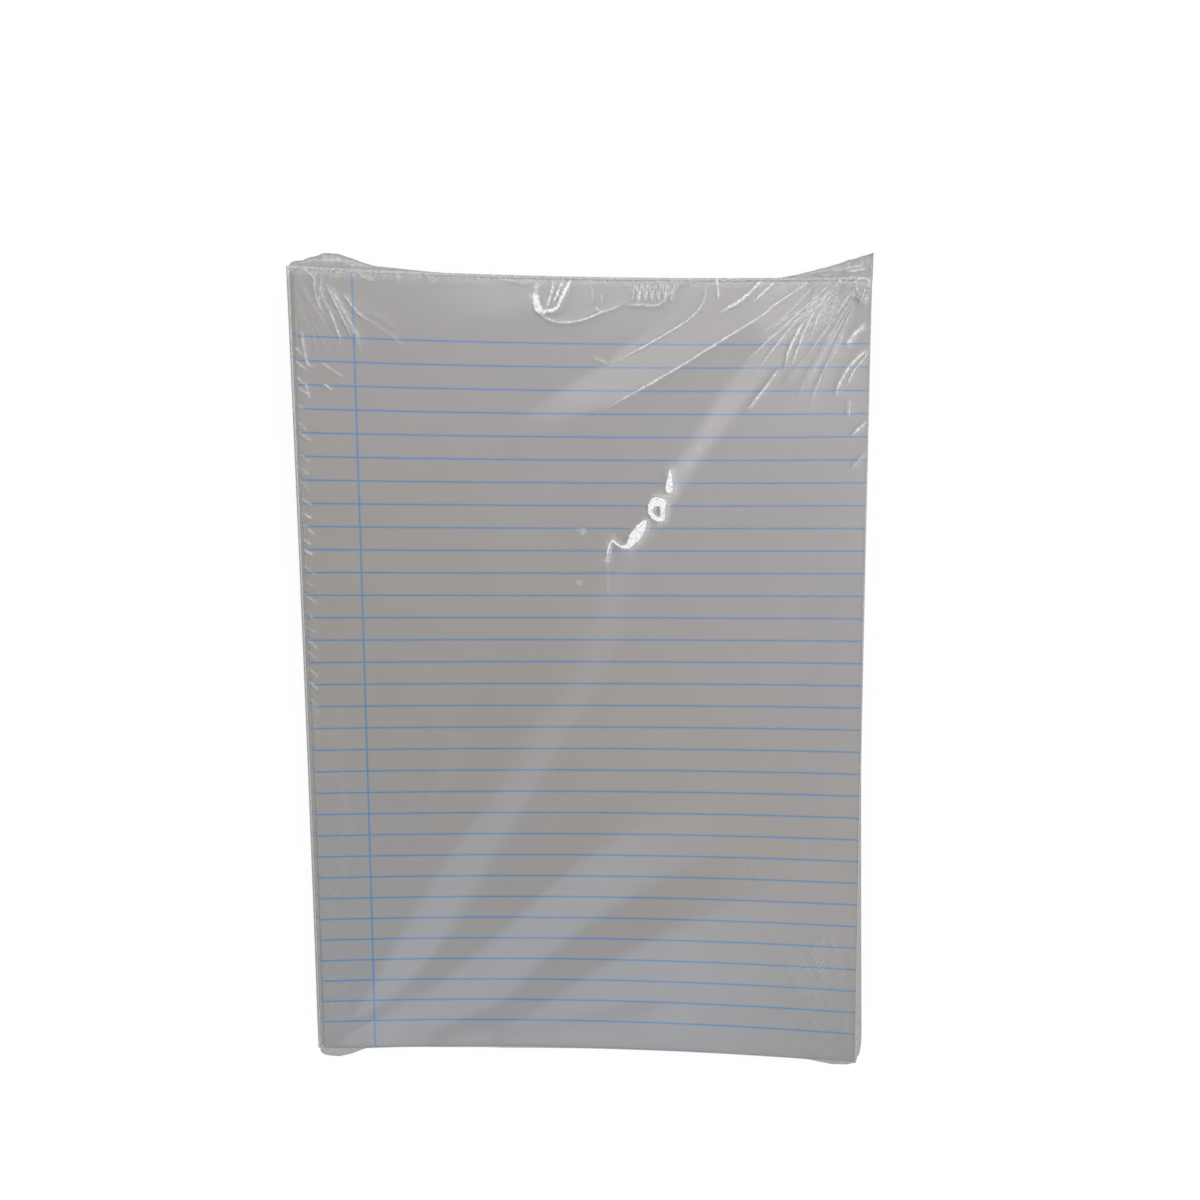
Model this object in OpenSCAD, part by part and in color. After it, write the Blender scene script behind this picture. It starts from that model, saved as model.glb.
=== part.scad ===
// Shrink-wrapped pack of loose ruled writing sheets, lying face up.
// X runs across the sheet to the right, Y up the sheet to its head, Z up from the table.
// The pack is curled: it is hollow on its upper side, and its valley runs at a slant.

/* [Sheets] */
// Width of a sheet
sheet_w = 210; // [148:1:297]
// Length of a sheet
sheet_l = 297; // [210:1:420]
// Thickness of one sheet
sheet_t = 0.1; // [0.07:0.01:0.14]
// Number of sheets in the pack
sheet_count = 100; // [60:1:200]
// Number of sheets in the top group, which slid away from the rest
front_sheets = 12; // [6:1:24]
// How far the top group slid to the right
slide_x = 2.4; // [0.6:0.1:4]
// How far the top group slid towards the foot
slide_y = 1.4; // [0.6:0.1:3]

/* [Ruling] */
// Number of ruled lines
line_count = 32; // [10:1:36]
// Distance from one line to the next
line_pitch = 8.5; // [6:0.1:9]
// Width of a ruled line
line_w = 0.4; // [0.2:0.1:0.8]
// Distance of the first line from the head of the sheet
head_space = 22.5; // [15:0.5:35]
// Distance of the margin line from the left edge of the sheet
margin_space = 20; // [12:0.5:35]
// Width of the margin line
margin_w = 0.4; // [0.2:0.1:0.8]
// Distance of the reverse side's margin line from the right edge of the sheet
reverse_space = 16.5; // [12:0.5:35]
// Height that the print stands above the paper
ink_t = 0.05; // [0.03:0.01:0.1]

/* [Curl] */
// Radius of the curl
curl_radius = 760; // [500:10:2000]
// Angle of the valley to the sheet's long edge
curl_turn = 17; // [0:1:30]
// Width of the flat strip that the pack rests on
rest_w = 44; // [20:1:60]

/* [Film] */
// Thickness of the film
film_t = 0.15; // [0.1:0.01:0.2]
// Clearance between the film and what it covers
film_gap = 0.2; // [0.15:0.01:0.4]
// Part of the hollow that the taut film bridges over the face of the pack
film_bridge = 0.4; // [0.1:0.05:0.8]
// Width of the trim seal that runs round the pack at mid height
seal_w = 1; // [0.6:0.1:2]
// Radius of the seal at the rounded corners, seen from above
corner_round = 2.5; // [1:0.1:3]
// Height of the rounded dog ear at the left head corner
left_ear_h = 4.3; // [2:0.1:8]
// Width of the rounded dog ear
left_ear_w = 34; // [24:1:60]
// Distance of the rounded ear's top from the film's side
left_ear_at = 15.5; // [12:0.5:30]
// Height of the low tail that carries on from the rounded ear
ear_tail_h = 1.6; // [0:0.1:3]
// Width of the tail
ear_tail_w = 80; // [40:1:100]
// Distance of the tail's top from the film's side
ear_tail_at = 21.5; // [15:0.5:40]
// Height of the pointed dog ear at the right head corner
right_ear_h = 9; // [5:0.5:14]
// Width of the pointed dog ear
right_ear_w = 34; // [25:1:60]
// How far the pointed ear leans out to the right
right_ear_lean = 1.1; // [0:0.1:3]
// Height of the small ears at the foot corners
foot_ear_h = 2; // [0.5:0.5:4]
// Width of the small ears at the foot corners
foot_ear_w = 20; // [12:1:40]
// How much wider the seal is along the foot
foot_hem = 1.1; // [0:0.1:3]
// How much wider the seal gets down the right side, at the foot
right_hem = 2.3; // [0:0.1:4]
// Height of the gathers that fan out from the corners
gather_h = 0.5; // [0.2:0.05:0.8]
// Distance from the corner at which the gathers are highest
gather_reach = 24; // [16:1:40]
// Number of gathers in a right angle
gather_count = 7; // [4:1:9]
// Height of the taut ridge that runs slanting over the face
ridge_h = 1; // [0:0.1:2]
// Width of the ridge's flank
ridge_w = 14; // [12:1:30]
// How far the ridge bows to the left of a straight line from corner to corner
ridge_bow = 14; // [0:1:30]
// Height of the two folds that fan out below the ridge from the left foot corner
fold_h = 0.8; // [0:0.1:2]

/* [Hidden] */

paper_color = [0.64, 0.62, 0.61];
ink_color = [0.38, 0.56, 0.78];
film_color = [0.85, 0.87, 0.88, 0.25];

stack_t = sheet_t * sheet_count;
front_t = sheet_t * front_sheets;
rest_sag = curl_radius - sqrt(pow(curl_radius, 2) - pow(rest_w / 2, 2));
stack_bottom = film_t + film_gap;
stack_top = stack_bottom + stack_t;
front_bottom = stack_top - front_t;

// The top group and the rest lie equally far to either side of the origin.
front_x = slide_x / 2;
front_y = -slide_y / 2;
stack_half_w = sheet_w / 2 + slide_x / 2;
stack_half_l = sheet_l / 2 + slide_y / 2;

// Curl
// Distance of a point from the valley, seen from above
function across(x, y) = x * cos(curl_turn) - y * sin(curl_turn);
// Height of the curled surface above the valley
function curl(x, y) = curl_radius - sqrt(pow(curl_radius, 2) - pow(across(x, y), 2));

curl_reach = norm([stack_half_w, stack_half_l]) + 5;
curl_step = 10;
curl_cells = ceil(curl_reach / curl_step);

// A curled slab between two heights, larger in plan than any sheet
module curled_slab(bottom, top) {
    stops = [for (i = [-curl_cells:curl_cells]) i * curl_reach / curl_cells];
    rise = [for (s = stops) curl_radius - sqrt(pow(curl_radius, 2) - pow(s, 2))];
    under = [for (i = [0:len(stops) - 1]) [stops[i], rise[i] + bottom]];
    over = [for (i = [len(stops) - 1:-1:0]) [stops[i], rise[i] + top]];
    rotate([0, 0, -curl_turn])
        rotate([90, 0, 0])
            linear_extrude(height = 2 * curl_reach, center = true)
                polygon(concat(under, over));
}

// Plan shapes are stood up to this height before they are cut out of a slab
plan_height = stack_top + curl_radius - sqrt(pow(curl_radius, 2) - pow(curl_reach, 2)) + 10;

module curled_plan(bottom, top) {
    intersection() {
        curled_slab(bottom, top);
        translate([0, 0, -ink_t])
            linear_extrude(height = plan_height)
                children();
    }
}

module sheet_plan() {
    square([sheet_w, sheet_l], center = true);
}

// Paper
// Share of the slide that each lower group of sheets took, from the table up
stray = [0.7, 0.9, 0.6, 1, 0.8];
lower_groups = len(stray);
lower_t = (stack_t - front_t) / lower_groups;
// Each group is joined to the one below by this depth
lap = sheet_t / 2;

module slid(share) {
    translate([front_x - share * slide_x, front_y + share * slide_y])
        children();
}

module paper_stack() {
    color(paper_color)
        union() {
            for (i = [0:lower_groups - 1])
                curled_plan(stack_bottom + i * lower_t - (i > 0 ? lap : 0), stack_bottom + (i + 1) * lower_t)
                    slid(stray[i])
                        sheet_plan();
            curled_plan(front_bottom - lap, stack_top)
                slid(0)
                    sheet_plan();
        }
}

// Print
module line_plan() {
    for (i = [0:line_count - 1])
        translate([0, sheet_l / 2 - head_space - i * line_pitch])
            square([sheet_w, line_w], center = true);
}

module margin_plan(space) {
    translate([space - sheet_w / 2, 0])
        square([margin_w, sheet_l], center = true);
}

module ruling_plan(space) {
    intersection() {
        difference() {
            line_plan();
            margin_plan(space);
        }
        sheet_plan();
    }
}

module ruled_lines() {
    color(ink_color)
        curled_plan(stack_top, stack_top + ink_t)
            slid(0)
                ruling_plan(margin_space);
}

module margin_line() {
    color(ink_color)
        curled_plan(stack_top, stack_top + ink_t)
            slid(0)
                margin_plan(margin_space);
}

module reverse_lines() {
    color(ink_color)
        curled_plan(stack_bottom - ink_t, stack_bottom)
            slid(stray[0])
                ruling_plan(sheet_w - reverse_space);
}

module reverse_margin() {
    color(ink_color)
        curled_plan(stack_bottom - ink_t, stack_bottom)
            slid(stray[0])
                margin_plan(sheet_w - reverse_space);
}

// Film
film_half_w = stack_half_w + film_gap + film_t;
film_half_l = stack_half_l + film_gap + film_t;
face_z = stack_top + film_gap + film_t;

// Stops across the edge of the film, from the seal inwards. Each has the distance outside the film's
// side, the share of a dog ear that it takes, its way down from the face to the seal, and the share
// of the ledge under the top group that it follows.
function edge_stops(slide, thin) = [
    [thin ? 0.45 * seal_w : seal_w, 1, 1, 1],
    [0.35 * seal_w - (thin ? film_t : 0), 0.75, 0.9, 1],
    [0.1 * seal_w - (thin ? film_t : 0), 0.08, 0.45, 1],
    [-(thin ? film_t : 0), 0.02, 0.03, 1],
    [-slide / 2 - (thin ? film_t : 0), 0, 0, 0.8],
    [-slide - (thin ? film_t : 0), 0, 0, 0]
];
edge_count = len(edge_stops(0, false));

// Stops over the face, closer together near the edges
function face_stop(u) = (u + sin(90 * u)) / 2;
across_cells = 22;
along_cells = 32;
across_count = 2 * edge_count + across_cells - 1;
along_count = 2 * edge_count + along_cells - 1;

// Index of a stop counted from the nearer edge
function from_edge(i, count) = min(i, count - 1 - i);
function side_of(i, count) = i < count / 2 ? -1 : 1;

function plan_at(i, count, cells, half, slide, thin) =
    let (n = from_edge(i, count), edge = edge_stops(slide, thin))
    n < edge_count
        ? side_of(i, count) * (half + edge[n][0])
        : (half + edge[edge_count - 1][0]) * face_stop(2 * (i - edge_count + 1) / cells - 1);

function stop_share(i, count, column) =
    let (n = from_edge(i, count))
    n < edge_count ? edge_stops(0, false)[n][column] : 0;

// Rounds a corner of a ring of the given half sizes
function round_corner(p, ring, radius) =
    let (inner = [ring[0] - radius, ring[1] - radius],
         d = [abs(p[0]) - inner[0], abs(p[1]) - inner[1]])
    radius > 0 && d[0] > 0 && d[1] > 0
        ? [sign(p[0]) * (inner[0] + radius * d[0] / norm(d)),
           sign(p[1]) * (inner[1] + radius * d[1] / norm(d))]
        : p;

// Dog ears at the head, and the small rounded ones at the foot
function hump(u) = u <= -1 || u >= 1 ? 0 : pow(cos(90 * u), 2);
function ear_at(x, height, width, place) = height * hump((x + film_half_w - place) / (width / 2));
function left_ear(x) =
    ear_at(x, left_ear_h, left_ear_w, left_ear_at) + ear_at(x, ear_tail_h, ear_tail_w, ear_tail_at);
function right_ear(x) = right_ear_h * pow(max(0, 1 - (film_half_w - x) / right_ear_w), 1.3);
function foot_ear(x) = foot_ear_h * hump((film_half_w - abs(x) - 0.3 * foot_ear_w) / (0.7 * foot_ear_w));

// Gathers that fan out from a corner
function fan(x, y, corner) =
    let (d = [x - corner[0], y - corner[1]], r = norm(d))
    r < 0.1 ? 0 : gather_h / 2 * (1 + sin(4 * gather_count * atan2(d[1], d[0])))
        * r / gather_reach * exp(1 - r / gather_reach);

function gathers(x, y) =
    fan(x, y, [-film_half_w, film_half_l]) + fan(x, y, [film_half_w, film_half_l])
    + (fan(x, y, [-film_half_w, -film_half_l]) + fan(x, y, [film_half_w, -film_half_l])) / 2;

// The taut ridge, from the right head corner to the left foot corner
ridge_end = 8;
function crest_x(y) = (film_half_w - ridge_end) * y / film_half_l - ridge_bow * cos(90 * y / film_half_l);
function ridge(x, y) =
    abs(y) >= film_half_l ? 0
    : ridge_h * exp(-pow((x - crest_x(y)) / ridge_w, 2)) * (1 - pow(y / film_half_l, 4));

// Folds below the ridge. Both lie between two directions from the left foot corner.
fold_from = 9;
fold_to = 45;
fold_reach = 110;
function foot_folds(x, y) =
    let (d = [x + film_half_w, y + film_half_l], r = norm(d), turn = atan2(d[1], d[0]),
         share = (turn - fold_from) / (fold_to - fold_from))
    share <= 0 || share >= 1 ? 0
    : fold_h * pow(sin(360 * share), 2) * r / fold_reach * exp(1 - r / fold_reach);

// The taut film bridges over a part of the hollow
function bridge(x, y) =
    film_bridge * pow(cos(curl_turn), 2) / (2 * curl_radius)
    * (pow(film_half_w, 2) - pow(min(abs(x), film_half_w), 2))
    * (1 - pow(min(abs(y) / film_half_l, 1), 4));

// How far down the right edge the pointed ear's lean reaches
lean_reach = 14;
function lean(y) = right_ear_lean * pow(max(0, 1 - (film_half_l - y) / lean_reach), 2);
// The wider seal down the right side starts at this Y and is at its widest this far below
hem_start = -15;
hem_reach = 125;
function hem(y) = right_hem * min(1, max(0, (hem_start - y) / hem_reach));

// A point of the face or the underside of the film. The inner wall is drawn with thin set.
function film_point(i, j, face, thin) =
    let (n = min(from_edge(i, across_count), from_edge(j, along_count)),
         flat = [plan_at(i, across_count, across_cells, film_half_w, slide_x, thin),
                 plan_at(j, along_count, along_cells, film_half_l, slide_y, thin)],
         out = n < 2 ? edge_stops(0, thin)[n][0] : 0,
         pointed = flat[0] > 0 && flat[1] > 0,
         radius = n > 1 || pointed ? 0 : corner_round * (n == 0 ? 1 : 0.35),
         p = round_corner(flat, [film_half_w + out, film_half_l + out], radius),
         ear = p[1] > 0 ? left_ear(p[0]) + right_ear(p[0]) : -foot_hem - foot_ear(p[0]),
         x = p[0] + (p[0] > 0 ? stop_share(i, across_count, 1) * (lean(p[1]) + hem(p[1])) : 0),
         y = p[1] + stop_share(j, along_count, 1) * ear,
         down = max(stop_share(i, across_count, 2), stop_share(j, along_count, 2)),
         ledge = front_t * max(p[0] < 0 ? stop_share(i, across_count, 3) : 0,
                               p[1] > 0 ? stop_share(j, along_count, 3) : 0),
         wall = thin ? film_t : 0,
         middle = curl(x, y) + (stack_bottom + stack_top) / 2,
         folds = gathers(x, y) + ridge(x, y) + foot_folds(x, y),
         top = curl(x, y) + face_z + bridge(x, y) + folds - ledge - wall,
         bottom = max(0, curl(x, y) - rest_sag - gathers(x, y) / 2) + wall)
    [x, y, middle + (1 - down) * ((face ? top : bottom) - middle)];

function on_rim(i, j) = i == 0 || j == 0 || i == across_count - 1 || j == along_count - 1;
function face_index(i, j) = i * along_count + j;
function under_index(i, j) =
    on_rim(i, j) ? face_index(i, j) : across_count * along_count + (i - 1) * (along_count - 2) + j - 1;

// Splits a cell along the diagonal that points at the nearest corner
function split(a, b, c, d, flip) = flip ? [[a, b, d], [b, c, d]] : [[a, b, c], [a, c, d]];

module film_shell(thin) {
    face_points = [for (i = [0:across_count - 1], j = [0:along_count - 1]) film_point(i, j, true, thin)];
    under_points = [for (i = [1:across_count - 2], j = [1:along_count - 2]) film_point(i, j, false, thin)];
    faces = [for (i = [0:across_count - 2], j = [0:along_count - 2])
        let (flip = (i < across_count / 2) != (j < along_count / 2))
        each concat(
            split(face_index(i, j), face_index(i, j + 1),
                face_index(i + 1, j + 1), face_index(i + 1, j), flip),
            split(under_index(i + 1, j), under_index(i + 1, j + 1),
                under_index(i, j + 1), under_index(i, j), !flip))];
    polyhedron(points = concat(face_points, under_points), faces = faces, convexity = 4);
}

module film_wrap() {
    color(film_color)
        difference() {
            film_shell(false);
            film_shell(true);
        }
}

film_wrap();
paper_stack();
ruled_lines();
margin_line();
reverse_lines();
reverse_margin();
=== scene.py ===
# Looks of a shrink-wrapped pack of loose ruled sheets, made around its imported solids.
# Sizes are in millimetres, and a mesh is turned into metres where it is made.
# X runs across the sheet to the right, Y up the sheet to its head, Z up from the table.
import collections
import math

import bpy
import numpy as np
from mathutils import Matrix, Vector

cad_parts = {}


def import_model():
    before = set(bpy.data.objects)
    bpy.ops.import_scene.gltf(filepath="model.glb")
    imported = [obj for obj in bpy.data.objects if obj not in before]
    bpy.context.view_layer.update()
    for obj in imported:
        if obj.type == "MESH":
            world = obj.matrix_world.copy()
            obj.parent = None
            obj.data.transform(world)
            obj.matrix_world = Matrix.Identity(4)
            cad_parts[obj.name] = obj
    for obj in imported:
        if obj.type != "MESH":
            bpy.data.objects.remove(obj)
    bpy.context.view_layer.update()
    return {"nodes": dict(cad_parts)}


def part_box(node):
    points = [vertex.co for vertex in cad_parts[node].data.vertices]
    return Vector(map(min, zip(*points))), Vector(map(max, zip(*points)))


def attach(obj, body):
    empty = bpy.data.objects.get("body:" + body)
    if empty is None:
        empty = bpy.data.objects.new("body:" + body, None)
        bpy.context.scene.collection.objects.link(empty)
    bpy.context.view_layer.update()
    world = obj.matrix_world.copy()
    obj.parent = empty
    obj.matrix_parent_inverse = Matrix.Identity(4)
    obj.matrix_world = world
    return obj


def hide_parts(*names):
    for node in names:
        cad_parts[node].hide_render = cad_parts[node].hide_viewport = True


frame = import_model()

MM = 0.001
BODY = "root"


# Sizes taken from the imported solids
def box_mm(node):
    low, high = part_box(node)
    return np.array(low) / MM, np.array(high) / MM


stack_low, stack_high = box_mm("paper_stack")
lines_low, lines_high = box_mm("ruled_lines")
margin_low, margin_high = box_mm("margin_line")

stack_bottom = stack_low[2]
stack_top = lines_low[2]
clearance = stack_bottom
film_half_w = stack_high[0] + clearance
film_half_l = stack_high[1] + clearance
face_z = stack_top + clearance
front_left, front_right = lines_low[0], lines_high[0]
front_foot, front_head = margin_low[1], margin_high[1]
slide_x = front_left - stack_low[0]
slide_y = stack_high[1] - front_head
sheet_w = front_right - front_left
sheet_l = front_head - front_foot

# Sheets. STRAY is how far the groups under the top one lie off it, from the table up, as shares of the
# slide. Each sheet strays a little more by the jitter, and those of the top group by a share of it.
SHEETS = 100
FRONT_SHEETS = 12
STRAY = (0.7, 0.9, 0.6, 1.0, 0.8)
SHEET_JITTER, FRONT_JITTER = 0.07, 0.35
LINE_COUNT = 32
LINE_PITCH = 8.5
LINE_W = 0.4
HEAD_SPACE = 22.5
MARGIN_SPACE = 20.0
REVERSE_SPACE = 16.5
front_t = (stack_top - stack_bottom) * FRONT_SHEETS / SHEETS

# Curl of the pack
CURL_RADIUS = 760.0
CURL_TURN = math.radians(17)
REST_W = 44.0
rest_sag = CURL_RADIUS - math.sqrt(CURL_RADIUS**2 - (REST_W / 2) ** 2)

# Film. FILM_BRIDGE is the share of the curled face's hollow that the taut film spans. SIDE is the length of
# its wall from the edge of the face to the trim seal, laid out flat. The seal has a bead of molten film and
# flutters by the ears. The hem is the loose film past the sheets at the foot and down the right side.
FILM_BRIDGE = 0.4
SEAL_W = 1.0
SIDE = 8.0
CORNER_ROUND, CORNER_POINTED = 2.5, 0.01
PLEAT_DEPTH = 0.3
BEAD_H, BEAD_W = 0.15, 0.12
LEFT_EAR_H, LEFT_EAR_W, LEFT_EAR_AT = 3.6, 34.0, 14.5
EAR_TAIL_H, EAR_TAIL_W, EAR_TAIL_AT = 1.6, 80.0, 21.5
RIGHT_EAR_H, RIGHT_EAR_W, RIGHT_EAR_POWER = 8.5, 35.0, 1.3
RIGHT_EAR_LEAN, LEAN_REACH = 0.5, 14.0
LEFT_FOOT_EAR_H, RIGHT_FOOT_EAR_H = 3.6, 1.4
FOOT_EAR_AT, FOOT_EAR_HALF = 6.6, 15.4
FOOT_HEM = 1.1
RIGHT_HEM, RIGHT_HEM_START, RIGHT_HEM_REACH = 2.3, 15.0, 125.0
HEM_END, HEM_END_POWER = 11.0, 2.5
FLUTTER_H, FLUTTER_REACH = 0.5, 40.0
LONG_WAVE, SHORT_WAVE = 1.9, 0.83

rng = np.random.default_rng(7)


# Forms shared by the paper and the film
def curl(x, y):
    """How high the curl lifts a place above the valley of the pack."""
    across = x * math.cos(CURL_TURN) - y * math.sin(CURL_TURN)
    return CURL_RADIUS - np.sqrt(CURL_RADIUS**2 - across**2)


def hump(u):
    """1 in the middle and 0 at 1 on either side, and beyond."""
    return np.where(np.abs(u) >= 1, 0, np.cos(np.pi / 2 * np.clip(u, -1, 1)) ** 2)


def rising(value, low, high):
    """0 below low and 1 above high, with a smooth rise between."""
    u = np.clip((value - low) / (high - low), 0, 1)
    return u * u * (3 - 2 * u)


def falling(value, low, high):
    return 1 - rising(value, low, high)


# Folds in the film. A fold is a line with a width and a height, and with how white the film is along its
# crest and how far to either side, a white that is partly stress-whitened film and partly painted glints. A
# facet is a tent over a line, with the widths of its flat flanks.
Fold = collections.namedtuple("Fold", "line width height crease half")
Facet = collections.namedtuple("Facet", "line left right height fade")


def smooth_line(points, step=1.0):
    """A curve through the points, as points about one step apart."""
    p = np.array(points, float)
    if len(p) == 2:
        count = max(2, int(np.hypot(*(p[1] - p[0])) / step))
        return p[0] + np.linspace(0, 1, count + 1)[:, None] * (p[1] - p[0])
    ends = np.vstack([2 * p[0] - p[1], p, 2 * p[-1] - p[-2]])
    curve = [p[0]]
    for k in range(1, len(ends) - 2):
        a, b, c, d = ends[k - 1 : k + 3]
        count = max(2, int(np.hypot(*(c - b)) / step))
        for t in np.linspace(0, 1, count + 1)[1:]:
            curve.append(
                b + 0.5 * t * (c - a + t * (2 * a - 5 * b + 4 * c - d + t * (3 * (b - c) + d - a)))
            )
    return np.array(curve)


def fold(points, width, height, crease=0.0, half=0.4):
    return Fold(smooth_line(points), width, height, crease, half)


def facet(points, left, right, height, fade):
    """The widths and heights are those at even steps from the start to the end of the line."""
    return Facet(smooth_line(points, 5.0), left, right, height, fade)


def measure(line, x, y):
    """The distance of points from a line, positive on its left, and the share of its length there."""
    best = np.full(len(x), np.inf)
    side = np.ones(len(x))
    share = np.zeros(len(x))
    steps = np.hypot(*np.diff(line, axis=0).T)
    run = np.concatenate([[0], np.cumsum(steps)])
    for k, length in enumerate(steps):
        ux, uy = (line[k + 1] - line[k]) / length
        dx, dy = x - line[k, 0], y - line[k, 1]
        t = np.clip(dx * ux + dy * uy, 0, length)
        gap = np.hypot(dx - t * ux, dy - t * uy)
        nearer = gap < best
        best = np.where(nearer, gap, best)
        side = np.where(nearer, np.where(ux * dy - uy * dx < 0, -1, 1), side)
        share = np.where(nearer, (run[k] + t) / run[-1], share)
    return best * side, share


def near(item, x, y, reach):
    """The indexes of the points within reach of a fold's box."""
    low, high = item.line.min(0) - reach, item.line.max(0) + reach
    return np.nonzero((x > low[0]) & (x < high[0]) & (y > low[1]) & (y < high[1]))[0]


# A fold's height counts in steps of FOLD_LIFT. It is felt as far as its width times FOLD_REACH, and its
# white crease, partly painted glints, as far as its half width times CREASE_REACH. Its ends taper over shares
# of its length.
CREST_ROUND = 0.25
FOLD_LIFT = 0.2
FOLD_REACH, CREASE_REACH = 6, 3
START_TAPER, END_TAPER = 0.2, 0.3


def crest(gap, width):
    """The profile of a fold: a crest with a small round top and flanks that flatten out."""
    return np.exp(-(np.sqrt(gap**2 + CREST_ROUND**2) - CREST_ROUND) / width)


def taper(share):
    """How much of a fold is left towards its ends."""
    return rising(share, 0, START_TAPER) * falling(share, 1 - END_TAPER, 1)


def fold_height(folds, x, y):
    total = np.zeros(len(x))
    for f in folds:
        at = near(f, x, y, FOLD_REACH * f.width)
        gap, share = measure(f.line, x[at], y[at])
        total[at] += FOLD_LIFT * f.height * crest(gap, f.width) * taper(share)
    return total


# The white along the crests of folds, partly stress-whitened film and partly painted glints
def fold_crease(folds, x, y):
    total = np.zeros(len(x))
    for f in folds:
        if f.crease:
            at = near(f, x, y, CREASE_REACH * f.half)
            gap, share = measure(f.line, x[at], y[at])
            white = f.crease * np.exp(-((gap / f.half) ** 4)) * taper(share)
            total[at] = np.maximum(total[at], white)
    return total


def fold_gap(folds, x, y, far=8.0):
    """The distance of points from the nearest fold, up to far."""
    least = np.full(len(x), far)
    for f in folds:
        at = near(f, x, y, far)
        gap, share = measure(f.line, x[at], y[at])
        least[at] = np.minimum(least[at], np.abs(gap))
    return least


# How round a facet's ridge is, and the share of its flank that its foot runs out over
FACET_SOFT = 2.4
FACET_FOOT = 0.2


def along(values, share):
    """The value at a share of a line's length, from values at even steps of it."""
    return np.interp(share, np.linspace(0, 1, len(values)), values)


def facet_height(x, y):
    total = np.zeros(len(x))
    for f in facets:
        at = near(f, x, y, (1 + FACET_FOOT) * max(f.left + f.right) + 1)
        gap, share = measure(f.line, x[at], y[at])
        flank = np.where(gap > 0, along(f.left, share), along(f.right, share))
        u = (np.sqrt(gap**2 + FACET_SOFT**2) - FACET_SOFT) / flank
        foot = np.clip(1 + FACET_FOOT - u, 0, 2 * FACET_FOOT) ** 2 / (4 * FACET_FOOT)
        rise = np.where(u < 1 - FACET_FOOT, 1 - u, foot)
        ends = rising(share, 0, f.fade[0]) * falling(share, 1 - f.fade[1], 1)
        total[at] += along(f.height, share) * rise * ends
    return total


# Spreads of the random folds in a fan and in a comb
FAN_TURN, FAN_BOW = 2, 0.6
FAN_START, FAN_END = (0.12, 0.4), (0.55, 1)
FAN_SIZE, FAN_WHITE, FAN_HALF = (0.6, 1.25), (0.3, 1.2), 0.24
COMB_SLIP, COMB_START, COMB_END = 0.3, (0, 0.35), (0.65, 1)
COMB_WIDTH, COMB_SIZE, COMB_HALF = 0.5, (0.4, 1.2), 0.3


def fan(apex, turns, reach, count, width, height, crease):
    """Folds that fan out from a corner between two directions in degrees."""
    made = []
    apex = np.array(apex)
    for turn in np.linspace(*turns, count):
        a = math.radians(turn + rng.uniform(-FAN_TURN, FAN_TURN))
        start = rng.uniform(*FAN_START) * reach
        end = rng.uniform(*FAN_END) * reach
        bow = rng.uniform(-FAN_BOW, FAN_BOW)
        ray = np.array([math.cos(a), math.sin(a)])
        aside = np.array([-ray[1], ray[0]])
        points = [apex + ray * start, apex + ray * (start + end) / 2 + aside * bow, apex + ray * end]
        size = rng.uniform(*FAN_SIZE)
        white = crease * rng.uniform(*FAN_WHITE)
        made.append(fold(points, width * size, height * size, white, FAN_HALF))
    return made


def comb(first, last, count, height, crease):
    """Fine folds side by side, from a first to a last line."""
    made = []
    for k in range(count):
        share = (k + rng.uniform(-COMB_SLIP, COMB_SLIP)) / (count - 1)
        ends = [np.array(a) + (np.array(b) - np.array(a)) * share for a, b in zip(first, last)]
        start, end = rng.uniform(*COMB_START), rng.uniform(*COMB_END)
        points = [ends[0] + (ends[1] - ends[0]) * t for t in (start, end)]
        high, white = height * rng.uniform(*COMB_SIZE), crease * rng.uniform(*COMB_SIZE)
        made.append(fold(points, COMB_WIDTH, high, white, COMB_HALF))
    return made
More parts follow.
